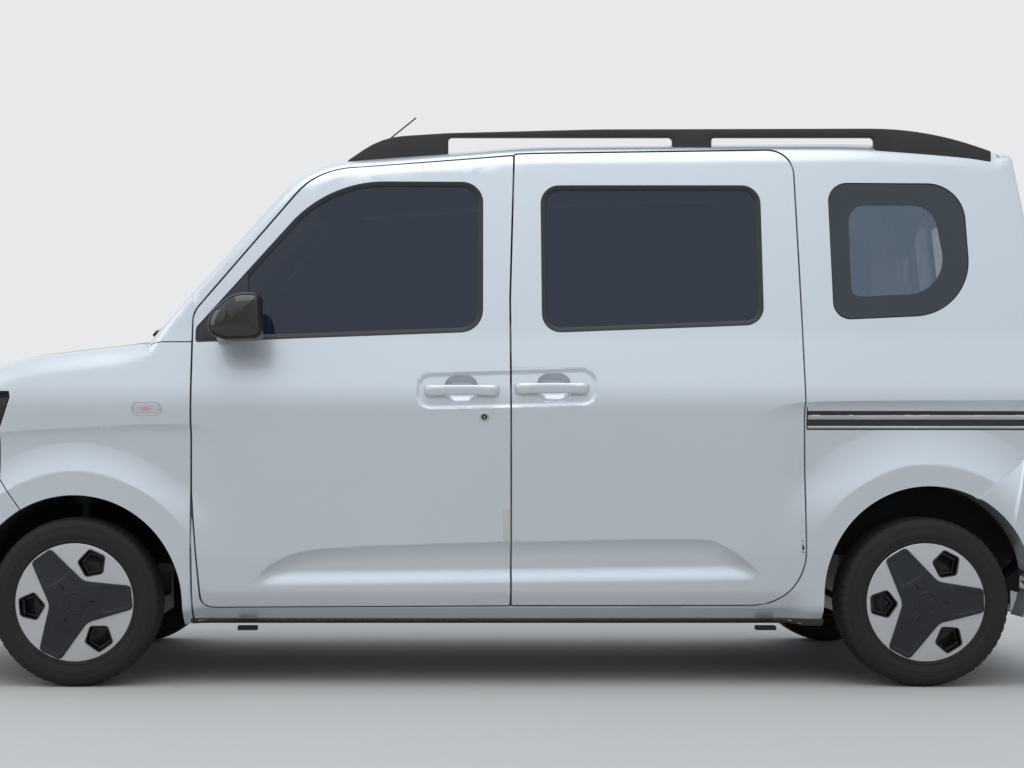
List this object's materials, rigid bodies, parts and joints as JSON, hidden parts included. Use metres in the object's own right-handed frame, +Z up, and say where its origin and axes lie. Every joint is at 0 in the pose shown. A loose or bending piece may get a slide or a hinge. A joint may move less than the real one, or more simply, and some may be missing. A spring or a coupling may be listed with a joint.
{
  "type": "electric minivan",
  "caption": "Small electric van body on four steered or driven wheels, with hinged front doors, hood and tailgate, sliding side doors and a hollow cabin",
  "frame": {"origin": "on the ground below the middle of the body", "axes": "+X to the rear, +Z up, the left side of the vehicle is -Y"},
  "size_m": [4.4212, 2.052, 2.2032],
  "materials": {
    "paint": "pale silver-white metallic lacquer, glossy",
    "black_trim": "black grained plastic",
    "gloss_black": "gloss black plastic",
    "tinted_glass": "dark tinted safety glass",
    "clear_glass": "clear safety glass",
    "lamp_lens": "clear lamp lens",
    "red_lens": "red lamp lens",
    "tyre_rubber": "black tyre rubber",
    "wheel_steel": "black painted steel wheel",
    "cover_silver": "silver painted wheel cover with a black three-armed star",
    "chassis_steel": "black coated chassis steel",
    "floor_steel": "primed floor panel with sealer",
    "battery_case": "cast and sheet aluminium battery case",
    "motor_case": "cast aluminium motor housing",
    "seat_fabric": "grey woven seat fabric",
    "cabin_plastic": "soft grained cabin plastic",
    "track_metal": "bright guide rail"
  },
  "bodies": {
    "body": {"antenna": "black_trim", "battery_pack": "battery_case", "bulkhead": "floor_steel", "cowl_panel": "black_trim", "dashboard": "cabin_plastic", "drive_motor": "motor_case", "floor_pan": "floor_steel", "front_bumper": "paint", "front_fenders": "paint", "front_frame": "floor_steel", "front_suspension": "chassis_steel", "headlamps": "lamp_lens", "jack_pads": "chassis_steel", "rear_axle": "chassis_steel", "rear_bumper": "paint", "rear_springs": "chassis_steel", "roof_panel": "paint", "roof_rails": "gloss_black", "seats": "seat_fabric", "side_frame_left": "paint", "side_frame_right": "paint", "side_glass": "tinted_glass", "slide_tracks": "track_metal", "sliding_door_handles": "paint", "sliding_doors": "paint", "steering_wheel": "cabin_plastic", "tail_frame": "floor_steel", "tail_lamps": "red_lens", "wheel_liners": "black_trim", "windscreen": "clear_glass"},
    "door_left": {"front_door_glass_left": "tinted_glass", "front_door_handle_left": "paint", "front_door_left": "paint", "mirror_left": "gloss_black"},
    "door_right": {"front_door_glass_right": "tinted_glass", "front_door_handle_right": "paint", "front_door_right": "paint", "mirror_right": "gloss_black"},
    "hood_lid": {"hood": "paint"},
    "steer_left": {"knuckle_left": "chassis_steel"},
    "steer_right": {"knuckle_right": "chassis_steel"},
    "wheel_front_left": {"rim_front_left": "wheel_steel", "tyre_front_left": "tyre_rubber", "wheel_cover_front_left": "cover_silver"},
    "wheel_front_right": {"rim_front_right": "wheel_steel", "tyre_front_right": "tyre_rubber", "wheel_cover_front_right": "cover_silver"},
    "wheel_rear_left": {"rim_rear_left": "wheel_steel", "tyre_rear_left": "tyre_rubber", "wheel_cover_rear_left": "cover_silver"},
    "wheel_rear_right": {"rim_rear_right": "wheel_steel", "tyre_rear_right": "tyre_rubber", "wheel_cover_rear_right": "cover_silver"},
    "rear_gate": {"tailgate": "paint", "tailgate_glass": "tinted_glass"}
  },
  "joints": [
    {"name": "steer_left", "type": "hinge", "parent": "body", "child": "steer_left", "pos_m": [-1.4925, -0.655, 0.304], "axis": [0, 0, 1], "range_deg": [-33, 33]},
    {"name": "steer_right", "type": "hinge", "parent": "body", "child": "steer_right", "pos_m": [-1.4925, 0.655, 0.304], "axis": [0, 0, 1], "range_deg": [-33, 33]},
    {"name": "door_left", "type": "hinge", "parent": "body", "child": "door_left", "pos_m": [-1.034, -0.812, 0.75], "axis": [0, 0, -1], "range_deg": [0, 65]},
    {"name": "door_right", "type": "hinge", "parent": "body", "child": "door_right", "pos_m": [-1.034, 0.812, 0.75], "axis": [0, 0, 1], "range_deg": [0, 65]},
    {"name": "hood_lift", "type": "hinge", "parent": "body", "child": "hood_lid", "pos_m": [-1.192, 0, 1.268], "axis": [0, 1, 0], "range_deg": [0, 60]},
    {"name": "rear_gate_lift", "type": "hinge", "parent": "body", "child": "rear_gate", "pos_m": [1.898, 0, 1.972], "axis": [0, -1, 0], "range_deg": [0, 75]},
    {"name": "roll_front_left", "type": "hinge", "parent": "steer_left", "child": "wheel_front_left", "pos_m": [-1.4925, -0.715, 0.304], "axis": [0, 1, 0], "continuous": true},
    {"name": "roll_front_right", "type": "hinge", "parent": "steer_right", "child": "wheel_front_right", "pos_m": [-1.4925, 0.715, 0.304], "axis": [0, 1, 0], "continuous": true},
    {"name": "roll_rear_left", "type": "hinge", "parent": "body", "child": "wheel_rear_left", "pos_m": [1.5575, -0.715, 0.304], "axis": [0, 1, 0], "continuous": true},
    {"name": "roll_rear_right", "type": "hinge", "parent": "body", "child": "wheel_rear_right", "pos_m": [1.5575, 0.715, 0.304], "axis": [0, 1, 0], "continuous": true}
  ],
  "couplings": [
    {"joint": "steer_right", "follows": "steer_left", "ratio": 1}
  ]
}
